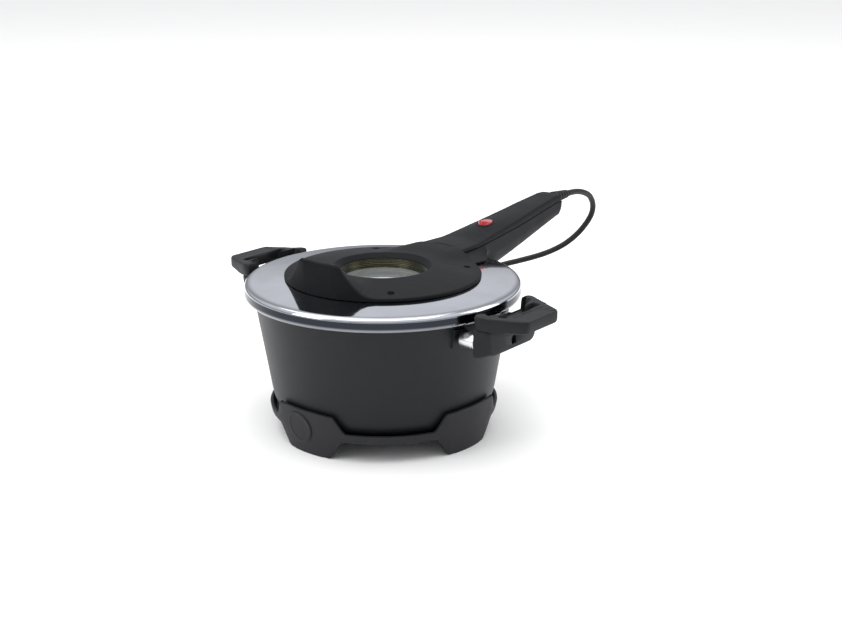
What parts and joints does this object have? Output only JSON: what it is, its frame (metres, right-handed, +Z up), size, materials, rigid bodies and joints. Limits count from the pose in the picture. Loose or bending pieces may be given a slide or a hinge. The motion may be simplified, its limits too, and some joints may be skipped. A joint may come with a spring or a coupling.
{
  "type": "electric cooker with heated lid",
  "caption": "Pan on a moulded stand with a polished heated lid, a round window, a long switch handle and a mains cord.",
  "frame": {"origin": "centre of the object's footprint box on the floor, the cord left out; the lid's axis is at x = -0.068 m", "axes": "+X towards the tip of the lid's handle, +Y towards the left side handle, +Z up"},
  "size_m": [0.442, 0.365, 0.1533],
  "materials": {
    "stand_plastic": "fine texture",
    "pad_rubber": "matt",
    "pan_coating": "dark non-stick coating, satin",
    "bright_steel": "bright",
    "screw_steel": "blackened",
    "polished_steel": "mirror polish",
    "reflector_aluminium": "satin",
    "element_sheath": "oxidised",
    "insulation_wool": "pressed wool",
    "thermostat_body": "matt",
    "window_glass": "clear",
    "seal_silicone": "matt",
    "cover_plastic": "fine texture",
    "handle_plastic": "fine texture",
    "grip_plastic": "fine texture",
    "switch_plastic": "smooth",
    "rocker_red": "clear red",
    "lead_copper": "bare",
    "cord_sheath": "matt",
    "plug_brass": "bright"
  },
  "bodies": {
    "stand": {"stand_ring": "stand_plastic", "stand_badge": "stand_plastic", "foot_pads": "pad_rubber", "rest_pads": "pad_rubber"},
    "pan": {"pan_shell": "pan_coating", "bracket_left": "pan_coating", "bracket_right": "pan_coating", "ferrules_left": "bright_steel", "ferrules_right": "bright_steel", "side_handle_left": "grip_plastic", "side_handle_right": "grip_plastic", "side_handle_screws": "screw_steel"},
    "lid": {"lid_dome": "polished_steel", "reflector": "reflector_aluminium", "heating_element": "element_sheath", "element_clips": "screw_steel", "insulation": "insulation_wool", "thermostat": "thermostat_body", "window_ring": "bright_steel", "window_glass": "window_glass", "window_seal": "seal_silicone", "lid_cover": "cover_plastic", "cover_screws": "screw_steel", "handle_lower_shell": "cover_plastic", "handle_top_shell": "handle_plastic", "shell_screws": "screw_steel", "switch_housing": "switch_plastic", "switch_pin": "screw_steel", "indicator_lamp": "rocker_red", "terminal_block": "thermostat_body", "inner_leads": "lead_copper", "cord_clamp": "switch_plastic", "clamp_screws": "screw_steel", "strain_relief": "cord_sheath", "cord_tube": "cord_sheath", "cord_coil": "cord_sheath", "cord_tie": "cord_sheath", "plug_body": "cord_sheath", "plug_pins": "plug_brass"},
    "rocker": {"switch_rocker": "rocker_red"}
  },
  "joints": [
    {"name": "pan_lift", "type": "slide", "parent": "stand", "child": "pan", "axis": [0, 0, 1], "range_m": [0, 0.06]},
    {"name": "lid_lift", "type": "slide", "parent": "pan", "child": "lid", "axis": [0, 0, 1], "range_m": [0, 0.12]},
    {"name": "switch_rock", "type": "hinge", "parent": "lid", "child": "rocker", "pos_m": [0.071, 0, 0.13762], "axis": [0, 1, 0], "range_deg": [-14, 0]}
  ]
}
